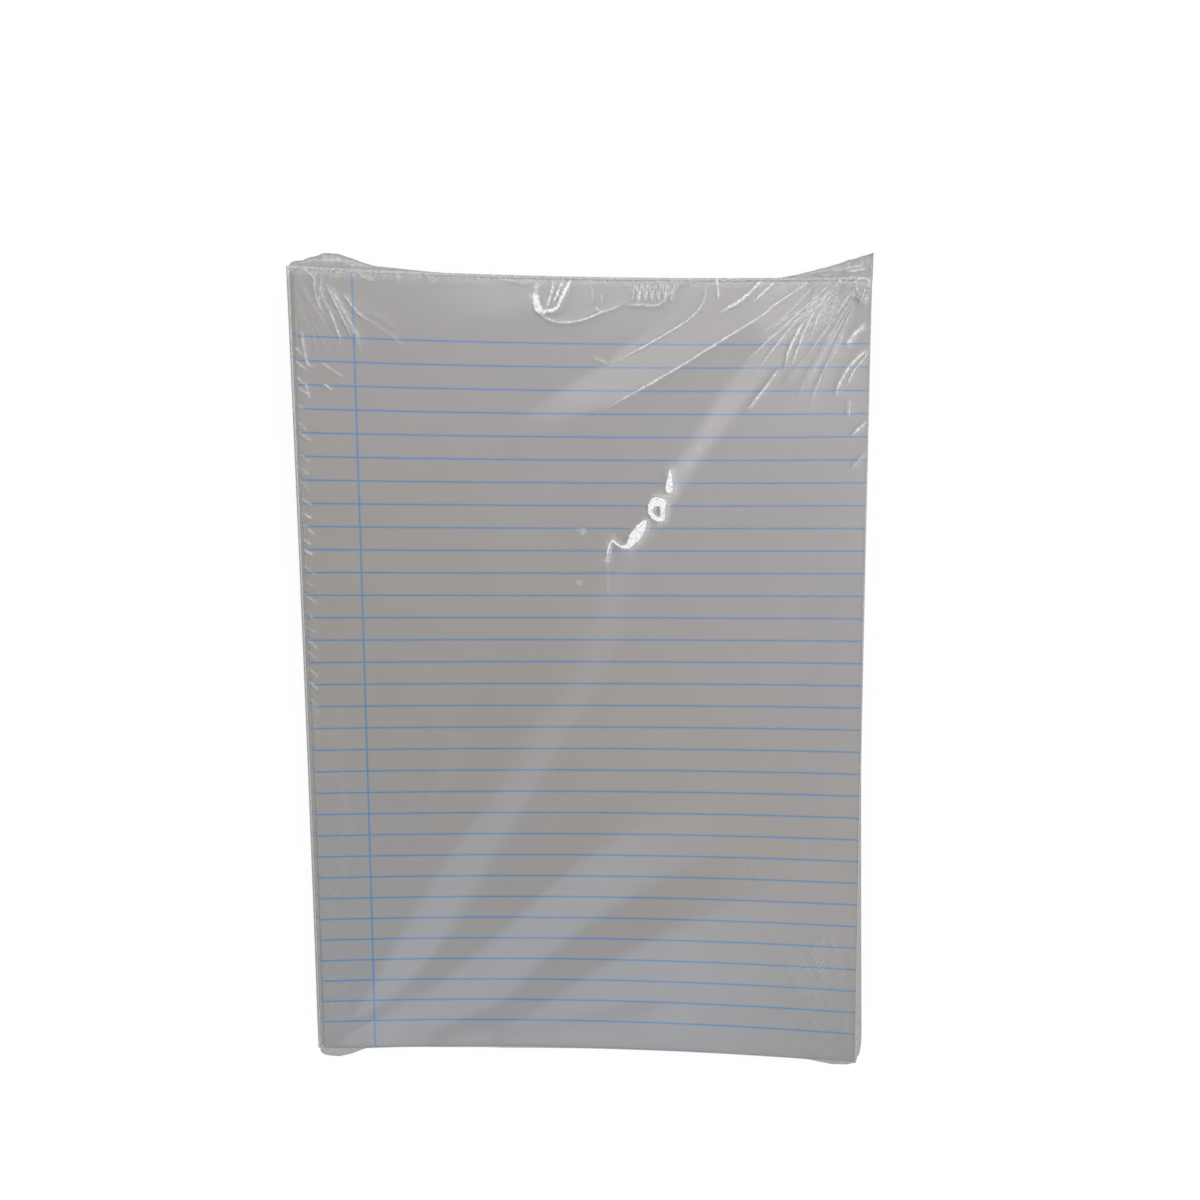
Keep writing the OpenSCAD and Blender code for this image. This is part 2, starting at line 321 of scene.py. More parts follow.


# Folds of the face, where the film gathered as it shrank
head_folds = [
    fold([(-17.2, 147.5), (-17.8, 142), (-17.2, 138)], 0.9, 0.4, 0.8, 0.8),
    fold([(-18, 143.6), (-17.4, 138.6), (-15.8, 136.4), (-13.6, 135.8)], 0.9, 0.5, 1.9, 1.2),
    fold([(-18, 135.8), (-10.6, 137.3), (-8.5, 140.8), (-5.7, 146.3), (-3.6, 150.5)], 0.7, 0.7, 1.5, 0.6),
    fold([(-14, 137), (-11.4, 145.4), (-12.4, 149)], 0.5, 0.4, 1.0, 0.5),
    fold([(-7, 149), (-11.8, 138.4)], 0.5, 0.4, 1.1, 0.5),
    fold([(-9.6, 138), (-6.4, 148)], 0.5, 0.4, 0.6, 0.7),
    fold([(-18, 138), (-15.4, 135.2), (-11.4, 133), (-4.9, 132.7), (1.6, 134.3), (7.3, 136.8), (12.2, 138.4),
          (18, 142)], 0.8, 0.5, 0.75, 0.4),
    fold([(13, 139.4), (20.4, 139.3), (27.7, 139.4), (31.8, 143.7), (33.4, 144.9), (35.8, 146.9),
          (46, 149.6)], 0.6, 0.4, 0.55, 0.4),
    fold([(45, 151.5), (45.2, 143.8), (43.3, 138.6), (39.2, 134.3), (34.4, 131.1), (26.2, 126.3),
          (19.7, 122.7), (8, 117)], 0.8, 0.5, 0.8, 0.32),
    fold([(49.4, 151), (49.7, 146), (50.2, 140.5)], 0.5, 0.4, 0.9, 0.45),
    fold([(68, 150.5), (59, 141.6), (48.5, 135.6)], 0.8, 0.6, 1.0, 0.6),
    fold([(72, 149), (62.5, 140)], 0.6, 0.4, 0.8, 0.5),
    fold([(92, 153), (71, 139.5), (67, 136), (50, 125.5), (37, 117.5), (24, 110), (0, 97)],
         0.8, 0.5, 0.85, 0.36),
    fold([(3.2, 146), (3.2, 138.5)], 0.5, 0.3, 0.3),
    fold([(6.5, 144.5), (6.5, 138.5)], 0.5, 0.3, 0.3),
    fold([(3.6, 137.7), (9, 136.3)], 0.5, 0.3, 0.5, 0.7),
    fold([(3.5, 120.1), (9.5, 117.6)], 0.6, 0.3, 0.35, 0.5),
    fold([(-34, 148.6), (-19, 145.6)], 0.6, 0.4, 0.5),
    fold([(22, 147.4), (42, 148.3)], 0.6, 0.3, 0.6),
]
GATHERS, GATHER_PITCH, FIRST_GATHER = 7, 2.4, 17.8
gathers_x = [FIRST_GATHER + GATHER_PITCH * k for k in range(GATHERS)]
head_folds += [fold([(x, 140), (x + 1.4, 148)], 0.45, 0.4, rng.uniform(0.4, 0.8), 0.35) for x in gathers_x]
head_folds += [
    fold([(x + 1.6, 147), (x + 2.8, 139.6)], 0.45, 0.3, rng.uniform(0.3, 0.7), 0.35) for x in gathers_x[:-1]
]
left_folds = [
    fold([(-93.2, 145), (-88.4, 134.2), (-83.4, 124)], 0.6, 0.5, 0.8, 0.3),
    fold([(-92.2, 144), (-86.8, 134.2), (-82.2, 125), (-81.4, 119)], 0.7, 0.5, 0.4, 0.7),
    fold([(-92.2, 136), (-89.9, 129.3), (-87.8, 122.5)], 0.6, 0.4, 0.85, 0.32),
    fold([(-97, 147), (-96.4, 139.3), (-94, 132.5)], 0.6, 0.4, 0.5, 0.35),
    fold([(-94, 147), (-95.9, 134.5)], 0.6, 0.3, 0.4, 0.3),
    fold([(-95.4, 143), (-91.6, 132)], 0.5, 0.3, 0.45, 0.3),
    fold([(-87, 140.5), (-82.5, 134.8), (-78, 130.8)], 0.7, 0.5, 0.8, 0.32),
    fold([(-80, 132.6), (-72, 127.6), (-64, 121)], 0.7, 0.4, 0.2, 0.3),
    fold([(-78, 134.6), (-66, 127.5)], 0.7, 0.3, 0.15, 0.3),
    fold([(-102, 150.3), (-96, 144.6)], 0.6, 0.4, 0.7, 0.4),
    fold([(-102, 128), (-100.2, 115.7), (-96, 115.8)], 0.6, 0.4, 0.65, 0.45),
    fold([(-96, 116.6), (-87, 110.8)], 0.5, 0.3, 0.5, 0.35),
    fold([(-95.2, 109), (-91.4, 106.4)], 0.5, 0.3, 0.6, 0.4),
    fold([(-101.4, 110), (-99.8, 102.5)], 0.5, 0.3, 0.5, 0.4),
    fold([(-81.8, 152), (-80.9, 147.6), (-75.2, 145)], 0.6, 0.4, 0.6, 0.5),
    fold([(-78, 150), (-71, 146.4)], 0.5, 0.3, 0.45, 0.5),
]
LEFT_EDGE, NICK_PITCH = -104.6, 5.3
nicks_y = np.arange(122, -20, -NICK_PITCH)
for y in nicks_y + rng.uniform(-1.5, 1.5, len(nicks_y)):
    nick = [(LEFT_EDGE, y), (LEFT_EDGE + 4 + rng.uniform(-1, 1), y - rng.uniform(2, 5))]
    left_folds.append(fold(nick, 0.5, 0.25, rng.uniform(0.2, 0.6), 0.4))
right_folds = [
    fold([(98, 153), (77.5, 134.3), (57, 116)], 0.6, 0.4, 0.6, 0.35),
    fold([(91, 146), (76.7, 130.9), (62.5, 113)], 0.6, 0.4, 0.6, 0.35),
    fold([(86, 147), (68, 128)], 0.5, 0.3, 0.45, 0.3),
    fold([(93.5, 146), (87.1, 135.1), (84, 125.5)], 0.5, 0.4, 0.6, 0.45),
    fold([(92, 146), (84.5, 135.1), (80, 124.5)], 0.5, 0.4, 0.7, 0.5),
    fold([(82, 134.5), (76.5, 123.1), (75, 115.5)], 0.7, 0.5, 0.9, 0.5),
    fold([(83, 133), (79.5, 123.1), (77.4, 116.5)], 0.5, 0.4, 0.7, 0.4),
    fold([(73.5, 117), (66.6, 107.7), (60, 99.5)], 0.6, 0.5, 0.8, 0.4),
    fold([(98.9, 149.5), (100.8, 142.1), (106, 140.6)], 0.6, 2.4),
    fold([(105, 132.8), (99.5, 127.2), (97.4, 123)], 0.6, 0.5, 0.9, 0.8),
    fold([(106.4, 124.2), (99.7, 117.8), (95.5, 110.9), (93.6, 104.5)], 0.7, 0.6, 0.95, 0.5),
    fold([(106.2, 122.4), (100.6, 115.2), (97.6, 108.6)], 0.6, 0.4, 0.6, 0.4),
    fold([(99.1, 105.5), (99.1, 97.5)], 0.6, 0.3, 0.4, 0.6),
    fold([(106, 97), (99.6, 91.1)], 0.6, 0.4, 0.8, 0.5),
    fold([(82.6, 147.6), (68.4, 137.6)], 0.5, 0.4, 0.5, 0.35),
    fold([(99, 152), (91, 144)], 0.6, 0.4, 0.6, 0.5),
    fold([(100.4, 145), (92.4, 134.6)], 0.6, 0.4, 0.5, 0.6),
    fold([(106, 86), (100, 79)], 0.6, 0.3, 0.4, 0.4),
]
middle_folds = [
    fold([(8.6, 44), (9.2, 38), (9.4, 31)], 0.8, 0.1, 0.12, 0.4),
    fold([(-0.7, 57.5), (0.2, 54.5)], 0.8, 0.1, 0.3, 1.4),
    fold([(-2, 38), (-1.4, 35)], 0.8, 0.1, 0.25, 1.3),
]
fans = (
    fan((-106, 150), (-80, -26), 44, 15, 0.5, 0.25, 0.2)
    + fan((106, 152), (-150, -112), 60, 20, 0.5, 0.28, 0.5)
    + fan((107, 155), (-165, -95), 19, 12, 0.5, 0.4, 0.8)
    + comb([(87, 147), (80.5, 130)], [(97, 145), (87.5, 127)], 11, 0.25, 0.5)
)
faint_folds = (
    fan((-106, -149), (20, 80), 34, 14, 0.5, 0.14, 0.1)
    + fan((106, -149), (100, 165), 40, 16, 0.5, 0.12, 0.1)
    + comb([(62, -54), (59, -90)], [(73, -52), (69, -94)], 8, 0.06, 0.06)
    + comb([(74, -104), (92, -136)], [(95, -94), (106, -126)], 16, 0.14, 0.14)
    + comb([(-98, -4), (-88, -22)], [(-98, -74), (-88, -92)], 18, 0.14, 0.14)
    + comb([(-103, -80), (-92, -84)], [(-103, -140), (-90, -134)], 16, 0.14, 0.14)
)

# Creases across the ears: where they start and end across, how far down the wall, their rise and whiteness,
# which is partly painted glints
ear_creases = (
    (78, 104, 7.6, -0.2, 0.3), (84, 100, 7.1, 0.2, 0.2), (92, 106, 6.7, 0.1, 0.5), (74, 86, 6.6, 0.3, 0.3),
    (98, 106, 5.9, 0.2, 0.8), (88, 97, 6.1, -0.3, 0.5), (-104, -92, 7.2, 0.3, 0.3),
    (-98, -86, 6.7, 0.2, 0.5), (-94, -76, 7.4, -0.2, 0.35), (-88, -80, 6.2, 0.5, 0.6),
    (-82, -70, 6.0, -0.6, 0.4),
)
ear_folds = [
    fold([(left, film_half_l + down), (right, film_half_l + down + rise)], 0.3, 0.0, crease, 0.16)
    for left, right, down, rise, crease in ear_creases
]
sharp_folds = head_folds + left_folds + right_folds + middle_folds + ear_folds + fans
face_folds = sharp_folds + faint_folds

# Flat facets of the taut film between its tension lines: the ridge from corner to corner comes first
facets = [
    facet([(-104, -150), (-92, -138), (-73, -100), (-61, -80), (-48, -60), (-33, -40), (-20, -20), (-6, 0),
           (3, 22), (9, 42), (25, 67), (38.5, 89), (64, 123), (96, 144)],
          (16, 20, 26, 30, 34), (16, 15, 10, 6, 8), (0.8, 0.62, 0.4, 0.36, 0.48), (0.05, 0.12)),
    facet([(-104, -150), (-78, -138), (-55, -120), (-33, -100), (-12, -80), (15, -60), (50, -46), (70, -40)],
          (4, 16), (8, 28), (0.35, 0.85), (0.05, 0.4)),
    facet([(-70, -152), (-27, -140), (0, -120), (33, -100), (70, -84), (100, -76)],
          (5, 22), (8, 44), (0.4, 1.0), (0.1, 0.5)),
    facet([(-40, -150), (-20, -147), (20, -138), (50, -132)], (5, 8), (10, 14), (0.4, 0.5), (0.1, 0.3)),
    facet([(-84, 60), (-28, 84), (6, 100), (24, 110), (37, 117), (50, 125), (71, 139), (84, 149)],
          (10, 14), (50, 40), (0.5, 1.0), (0.6, 0.15)),
    facet([(-72, -58), (-64, -46), (-56, -30), (-50, -16)], (6, 8), (6, 8), (0.3, 0.3), (0.3, 0.3)),
    facet([(-80, 112), (-62, 124), (-45, 131), (-20, 135), (-6, 133)],
          (14, 10), (14, 14), (0.12, 0.12), (0.3, 0.3)),
]

# Painted highlights on the ridge: white patches that stand in for a lamp's reflection in the film, as lines
# with their half widths
highlight_marks = [
    [(32.5, 78.6, 0.1), (32.4, 75.4, 0.8), (32.3, 71.8, 1.3)],
    [(25.2, 63.4, 0.7), (25.5, 65.9, 1.0), (27.2, 67.2, 1.6), (29.6, 66.8, 1.3), (30, 64, 0.7),
     (29.7, 60.9, 0.8), (28.2, 60.6, 0.6), (26.2, 61.6, 0.6), (25.2, 63.4, 0.7)],
    [(23, 59.4, 0.8), (21.4, 57, 1.6), (19.4, 54, 1.9), (17, 50.6, 0.8), (14.4, 50.1, 0.25),
     (12.1, 51.7, 0.15), (10.9, 52.7, 0.15), (9.8, 51, 0.12), (9.1, 47.8, 0.05), (8.7, 45, 0)],
]


def highlight_gap(x, y, far=40.0):
    """The distance of points outside the painted highlights, up to far."""
    least = np.full(len(x), far)
    for highlight in highlight_marks:
        for start, end in zip(highlight, highlight[1:]):
            wx, wy = end[0] - start[0], end[1] - start[1]
            t = np.clip(((x - start[0]) * wx + (y - start[1]) * wy) / (wx**2 + wy**2), 0, 1)
            gap = np.hypot(x - start[0] - t * wx, y - start[1] - t * wy)
            least = np.minimum(least, gap - start[2] - (end[2] - start[2]) * t)
    return np.maximum(least, 0)


# The film, laid out flat: a runs across and b along, and past the edge of the face they run down the side
def side_share(p, half):
    """How far down the side a place is: 0 at the edge of the face and 1 at the trim seal."""
    return np.clip((np.abs(p) - half) / SIDE, 0, 1)


# How the wall leans out, comes down and runs out into the ears, and how the film goes over the ledge
LEAN_SHARE, SEAL_POWER = 0.25, 8
DOWN_POWER, EAR_POWER, LEDGE_POWER = 1.15, 2.9, 2.3


def out_of(t):
    return SEAL_W * (LEAN_SHARE * t**2 + (1 - LEAN_SHARE) * t**SEAL_POWER)


def down_of(t):
    return 1 - (1 - t) ** DOWN_POWER


def ear_of(t):
    return t**EAR_POWER


def ledge_of(p, half, slide):
    """The share of the step under the top group that the film follows."""
    u = np.clip((np.abs(p) - half + slide) / slide, 0, 1)
    return 1 - (1 - u) ** LEDGE_POWER


def left_ear(x):
    ear = LEFT_EAR_H * hump((x + film_half_w - LEFT_EAR_AT) / (LEFT_EAR_W / 2))
    return ear + EAR_TAIL_H * hump((x + film_half_w - EAR_TAIL_AT) / (EAR_TAIL_W / 2))


def right_ear(x):
    return RIGHT_EAR_H * np.clip(1 - (film_half_w - x) / RIGHT_EAR_W, 0, None) ** RIGHT_EAR_POWER


def foot_ear(x):
    height = np.where(x < 0, LEFT_FOOT_EAR_H, RIGHT_FOOT_EAR_H)
    return height * hump((film_half_w - np.abs(x) - FOOT_EAR_AT) / FOOT_EAR_HALF)


def lean(y):
    return RIGHT_EAR_LEAN * np.clip(1 - (film_half_l - y) / LEAN_REACH, 0, None) ** 2


def right_hem(y):
    """How much wider the seal gets down the right side, towards the foot."""
    wide = RIGHT_HEM * np.clip((-y - RIGHT_HEM_START) / RIGHT_HEM_REACH, 0, 1)
    past = np.clip((HEM_END - SEAL_W - film_half_l - y) / HEM_END, 0, 1)
    return wide * np.sqrt(1 - past**HEM_END_POWER)


def bridge(x, y):
    """How high the taut film spans the hollow of the curled face."""
    hollow = FILM_BRIDGE * math.cos(CURL_TURN) ** 2 / (2 * CURL_RADIUS)
    across = film_half_w**2 - np.minimum(np.abs(x), film_half_w) ** 2
    return hollow * across * (1 - np.minimum(np.abs(y / film_half_l), 1) ** 4)


HIGHLIGHT_RELIEF = 0.12


def broad_height(x, y):
    """How high the film lies over the paper, without its small folds."""
    return bridge(x, y) + facet_height(x, y) + HIGHLIGHT_RELIEF * np.exp(-(highlight_gap(x, y) ** 2))


PLEAT_WAVES, PLEAT_LENGTHS = 6, (2.5, 9)


def pleats(place, seed):
    """Small irregular pleats along an edge, from 0 to 1."""
    picks = np.random.default_rng(seed)
    total = 0
    for k in range(PLEAT_WAVES):
        turns = place / picks.uniform(*PLEAT_LENGTHS)
        total = total + np.sin(2 * np.pi * turns + picks.uniform(0, 2 * np.pi))
    return 0.5 + total / (2 * PLEAT_WAVES)


def film_point(a, b, face):
    """Places in space of points of the flat film, on the face or on the underside."""
    ta, tb = side_share(a, film_half_w), side_share(b, film_half_l)
    t = np.maximum(ta, tb)
    x = np.sign(a) * (np.minimum(np.abs(a), film_half_w) + out_of(ta))
    y = np.sign(b) * (np.minimum(np.abs(b), film_half_l) + out_of(tb))

    pointed = (a > 0) & (b > 0)
    radius = np.where(pointed, CORNER_POINTED, CORNER_POINTED + CORNER_ROUND * t**3)
    inner_x = film_half_w + out_of(t) - radius
    inner_y = film_half_l + out_of(t) - radius
    dx, dy = np.abs(x) - inner_x, np.abs(y) - inner_y
    corner = (dx > 0) & (dy > 0)
    length = np.where(corner, np.hypot(dx, dy), 1)
    x = np.where(corner, np.sign(x) * (inner_x + radius * dx / length), x)
    y = np.where(corner, np.sign(y) * (inner_y + radius * dy / length), y)

    pleat = PLEAT_DEPTH * np.sin(np.pi * t) ** 2
    x = x + np.sign(x) * np.where(ta > tb, pleat * pleats(b, 3 if face else 4), 0)
    y = y + np.sign(y) * np.where(tb > ta, pleat * pleats(a, 5 if face else 6), 0)
    ears = np.where(y > 0, left_ear(x) + right_ear(x), -FOOT_HEM - foot_ear(x))
    x = x + np.where(x > 0, ear_of(ta) * (lean(y) + right_hem(y)), 0)
    y = y + ear_of(tb) * ears

    rise = curl(x, y)
    middle = rise + (stack_bottom + stack_top) / 2
    if face:
        ledge = front_t * np.maximum(
            np.where(a < 0, ledge_of(a, film_half_w, slide_x), 0),
            np.where(b > 0, ledge_of(b, film_half_l, slide_y), 0),
        )
        skin = rise + face_z + broad_height(a, b) + fold_height(face_folds, a, b) - ledge
    else:
        skin = np.maximum(0, rise - rest_sag - fold_height(under_folds, a, b))
    bead = BEAD_H * np.sin(np.pi * np.clip((t - 1 + BEAD_W) / BEAD_W, 0, 1)) * (1 if face else -1)
    waves = np.sin(x / LONG_WAVE) + np.sin(x / SHORT_WAVE + 2)
    flutter = FLUTTER_H * ear_of(tb) * waves * hump((film_half_w - np.abs(x)) / FLUTTER_REACH)
    z = middle + (1 - down_of(t)) * (skin - middle) + bead + np.where(y > 0, flutter, flutter / 4)
    return np.stack([x, y, z], axis=1)


# Folds of the underside, which has a fan at each corner
under_folds = (
    fan((-106, 149), (-80, -20), 40, 9, 1.0, 0.5, 0.1)
    + fan((106, 149), (-160, -105), 44, 9, 1.0, 0.5, 0.1)
    + fan((-106, -149), (15, 80), 40, 9, 1.0, 0.5, 0.1)
    + fan((106, -149), (100, 165), 40, 9, 1.0, 0.5, 0.1)
)


# Cells that get smaller where the film is folded, by halves of a coarse grid. Each rule for their size has
# the least size, how much it grows for each millimetre away from the form, and where the growth starts.
ROOT_ACROSS, ROOT_ALONG = 18, 25
LEVELS = 6
SHARP_FOLD_CELLS, FAINT_FOLD_CELLS = (0.4, 1.3, 0.5), (0.8, 0.9, 0.8)
HIGHLIGHT_CELLS, EDGE_CELLS = (0.21, 0.6, 0.8), (0.45, 0.5, 0.5)
SEAL_CELLS, EAR_CELLS, UNDER_CELLS = (0.9, 0.6, 0), (0.5, 0.6, 0), (1.6, 0.5, 0)
FACE_CELL_MAX, UNDER_CELL_MAX = 1.75, 6.4
EAR_REACH_X, EAR_REACH_Y = 50, 2
flat_half_w, flat_half_l = film_half_w + SIDE, film_half_l + SIDE
cell_w = 2 * flat_half_w / ROOT_ACROSS
cell_l = 2 * flat_half_l / ROOT_ALONG


def allowed(gap, least, growth, start):
    """The size that a rule allows at this distance from a form."""
    return least + growth * np.maximum(0, gap - start)


def wanted_size(a, b, face):
    """The size that a cell at this place may have."""
    rim = np.minimum(flat_half_w - np.abs(a), flat_half_l - np.abs(b))
    ear = (b > film_half_l - EAR_REACH_Y) & (film_half_w - np.abs(a) < EAR_REACH_X)
    limits = [np.where(ear, allowed(rim, *EAR_CELLS), allowed(rim, *SEAL_CELLS))]
    if face:
        edge_x = np.where(a < 0, -film_half_w + slide_x / 2, film_half_w)
        edge_y = np.where(b > 0, film_half_l - slide_y / 2, -film_half_l)
        edge = np.minimum(np.abs(a - edge_x), np.abs(b - edge_y))
        limits += [
            allowed(fold_gap(sharp_folds, a, b), *SHARP_FOLD_CELLS),
            allowed(fold_gap(faint_folds, a, b), *FAINT_FOLD_CELLS),
            allowed(highlight_gap(a, b), *HIGHLIGHT_CELLS),
            allowed(edge, *EDGE_CELLS),
        ]
    else:
        edge = np.minimum(np.abs(np.abs(a) - film_half_w), np.abs(np.abs(b) - film_half_l))
        limits.append(allowed(np.minimum(edge, fold_gap(under_folds, a, b)), *UNDER_CELLS))
    return np.minimum(np.min(limits, axis=0), FACE_CELL_MAX if face else UNDER_CELL_MAX)


def flat_place(i, j):
    """The place on the flat film of a point of the finest grid."""
    unit = 2**LEVELS
    return i / unit * cell_w - flat_half_w, j / unit * cell_l - flat_half_l


def leaf_cells(face):
    """Cells as (i, j, size) in the finest units, halved until each is as small as wanted."""
    unit = 2**LEVELS
    i, j = np.meshgrid(np.arange(ROOT_ACROSS) * unit, np.arange(ROOT_ALONG) * unit, indexing="ij")
    i, j = i.ravel(), j.ravel()
    leaves = []
    size = unit
    while len(i):
        a, b = flat_place(i + size / 2, j + size / 2)
        split = (wanted_size(a, b, face) < cell_w * size / unit) & (size > 1)
        leaves += [(p, q, size) for p, q in zip(i[~split], j[~split])]
        i, j = i[split], j[split]
        size //= 2
        i = np.concatenate([i, i + size, i, i + size])
        j = np.concatenate([j, j, j + size, j + size])
    return leaves


def outline(taken, i, j, size):
    """The corners of a cell in order, with those of smaller neighbours on its edges."""
    foot = [(p, j) for p in range(i, i + size) if taken[p, j]]
    right = [(i + size, q) for q in range(j, j + size) if taken[i + size, q]]
    head = [(p, j + size) for p in range(i + size, i, -1) if taken[p, j + size]]
    left = [(i, q) for q in range(j + size, j, -1) if taken[i, q]]
    return foot + right + head + left


def film_side(face):
    """Lattice points and faces of one side of the film."""
    unit = 2**LEVELS
    shape = (ROOT_ACROSS * unit + 1, ROOT_ALONG * unit + 1)
    taken = np.zeros(shape, bool)
    leaves = leaf_cells(face)
    for i, j, size in leaves:
        taken[i, j] = taken[i + size, j] = taken[i, j + size] = taken[i + size, j + size] = True
    return taken, [outline(taken, i, j, size) for i, j, size in leaves]


def make_mesh(name, points, faces, floats=None, smooth=True):
    """An object from points in millimetres, with number attributes given by name."""
    mesh = bpy.data.meshes.new(name)
    mesh.from_pydata((np.asarray(points) * MM).tolist(), [], faces)
    for key, values in (floats or {}).items():
        layer = mesh.attributes.new(key, "FLOAT", "POINT")
        layer.data.foreach_set("value", np.asarray(values, np.float32))
    mesh.polygons.foreach_set("use_smooth", [smooth] * len(mesh.polygons))
    mesh.validate()
    mesh.update()
    piece = bpy.data.objects.new(name, mesh)
    bpy.context.scene.collection.objects.link(piece)
    return piece


# How milky the film is, from 0 to 1: in the ears, at its rim with its pleats, down the wall and by the edge
EAR_HAZE = 0.8
RIM_HAZE, RIM_PLEAT_HAZE = 0.15, 0.3
WALL_HAZE, EDGE_HAZE = 0.35, 0.5


def film_haze(points, a, b):
    """How milky the film is. The border is how far in from the edge of the face, below 0 past it."""
    t = np.maximum(side_share(a, film_half_w), side_share(b, film_half_l))
    past = np.maximum(np.abs(points[:, 0]) - film_half_w, np.abs(points[:, 1]) - film_half_l)
    ears = EAR_HAZE * rising(past, 0.1, 0.7) * rising(t, 0.3, 0.6)
    border = np.minimum(film_half_w - np.abs(a), film_half_l - np.abs(b))
    rim = falling(border, -0.5, 1.3) * (RIM_HAZE + RIM_PLEAT_HAZE * pleats(a + b, 7))
    edge = falling(border, 0.1, 0.6) * (WALL_HAZE + EDGE_HAZE * rising(border, -2.8, -1.5))
    return np.maximum(np.maximum(ears, rim), edge)


# How white the film is in the painted highlights, in the painted glow round them, and along the head edge. A
# soft highlight is a dim painted highlight, as its place, its reach and how white it is.
HIGHLIGHT_WHITE, GLOW_WHITE, GLOW_REACH = 2.4, 0.24, 2.4
HEAD_WHITE = 0.4
soft_highlights = [
    (43.7, 87.2, 2.4, 0.2), (38.5, 82, 2.8, 0.17), (35.6, 78.3, 2.0, 0.14), (30.6, 69.4, 2.0, 0.2),
    (52, 103, 3.0, 0.1), (47, 95, 3.0, 0.1),
]


def face_white(a, b):
    """How white the film is on the face: in its creases, partly painted glints, in its painted highlights and
    along its head edge.
    """
    gap = highlight_gap(a, b)
    highlight = HIGHLIGHT_WHITE * falling(gap, -0.15, 0.3) + GLOW_WHITE * np.exp(-((gap / GLOW_REACH) ** 2))
    for spot_x, spot_y, reach, share in soft_highlights:
        highlight += share * np.exp(-((a - spot_x) ** 2 + (b - spot_y) ** 2) / reach**2)
    head = HEAD_WHITE * falling(film_half_l - b, 1, 2.5 + 5 * pleats(a, 9)) * (b < film_half_l + 1)
    return np.maximum(fold_crease(face_folds, a, b), np.maximum(highlight, head))


def film_cover():
    """The film as one closed skin: the face and the underside, joined along the trim seal."""
    points, haze, crease, faces = [], [], [], []
    index = {}
    for face in (True, False):
        taken, cells = film_side(face)
        i, j = np.nonzero(taken)
        a, b = flat_place(i, j)
        places = film_point(a, b, face)
        milk = film_haze(places, a, b)
        # Each point's white holds its creases, partly painted glints, and the painted highlights
        white = face_white(a, b) if face else fold_crease(under_folds, a, b)
        rim = (i == 0) | (j == 0) | (i == taken.shape[0] - 1) | (j == taken.shape[1] - 1)
        own = {}
        for k, key in enumerate(zip(i.tolist(), j.tolist())):
            if not face and rim[k]:
                own[key] = index[key]
                continue
            own[key] = len(points)
            points.append(places[k])
            haze.append(milk[k])
            crease.append(white[k])
        if face:
            index = own
        for cell in cells:
            ring = [own[key] for key in cell]
            faces.append(ring if face else ring[::-1])
    return make_mesh("film_cover", np.array(points), faces, {"haze": haze, "crease": crease})


# Paper
ACROSS_CELLS, ALONG_CELLS = 42, 60


def sheet_ring():
    """Grid places round the edge of a sheet, in order."""
    foot = [(i, 0) for i in range(ACROSS_CELLS)]
    right = [(ACROSS_CELLS, j) for j in range(ALONG_CELLS)]
    head = [(i, ALONG_CELLS) for i in range(ACROSS_CELLS, 0, -1)]
    left = [(0, j) for j in range(ALONG_CELLS, 0, -1)]
    return foot + right + head + left


def sheet_places(cells, shift, level):
    i, j = np.array(cells, float).T
    x = front_left + shift[0] + sheet_w * i / ACROSS_CELLS
    y = front_foot + shift[1] + sheet_l * j / ALONG_CELLS
    return np.stack([x, y, curl(x, y) + level], axis=1)


def sheet_shift(k):
    """How far sheet k, counted from the table up, lies from the top group."""
    if k >= SHEETS - FRONT_SHEETS:
        share, loose = 0.0, FRONT_JITTER
    else:
        share, loose = STRAY[k * len(STRAY) // (SHEETS - FRONT_SHEETS)], 1.0
    wander = rng.uniform(-SHEET_JITTER, SHEET_JITTER, 2) * loose
    return np.array([-share * slide_x, share * slide_y]) + wander


def paper_sheets():
    """The whole pack as one closed mesh, with the edge of every sheet."""
    ring = sheet_ring()
    inner = [(i, j) for i in range(1, ACROSS_CELLS) for j in range(1, ALONG_CELLS)]
    sheet_t = (stack_top - stack_bottom) / SHEETS
    shifts = [sheet_shift(k) for k in range(SHEETS)]
    # The top sheet stays right under its print
    shifts[-1] = np.zeros(2)
    points, tones = [], []
    for k, shift in enumerate(shifts):
        tone = rng.uniform(0, 1)
        for level in (k, k + 1):
            points.append(sheet_places(ring, shift, stack_bottom + level * sheet_t))
            tones.append(np.full(len(ring), 1.0 if k == SHEETS - 1 and level > k else tone))
    count = len(ring)
    faces = []
    for r in range(2 * SHEETS - 1):
        for k in range(count):
            n = (k + 1) % count
            faces.append([r * count + k, r * count + n, (r + 1) * count + n, (r + 1) * count + k])
    for top in (False, True):
        first_ring = (2 * SHEETS - 1) * count if top else 0
        first_inner = 2 * SHEETS * count + (len(inner) if top else 0)
        index = {cell: first_ring + k for k, cell in enumerate(ring)}
        index.update({cell: first_inner + k for k, cell in enumerate(inner)})
        points.append(sheet_places(inner, shifts[-1 if top else 0], stack_top if top else stack_bottom))
        tones.append(np.ones(len(inner)))
        for i in range(ACROSS_CELLS):
            for j in range(ALONG_CELLS):
                cell = [index[i, j], index[i + 1, j], index[i + 1, j + 1], index[i, j + 1]]
                faces.append(cell if top else cell[::-1])
    floats = {"tone": np.concatenate(tones)}
    return make_mesh("paper_sheets", np.vstack(points), faces, floats, smooth=False)


# How far the ink stands out of a sheet and reaches into it
INK_T, INK_SUNK = 0.03, 0.02


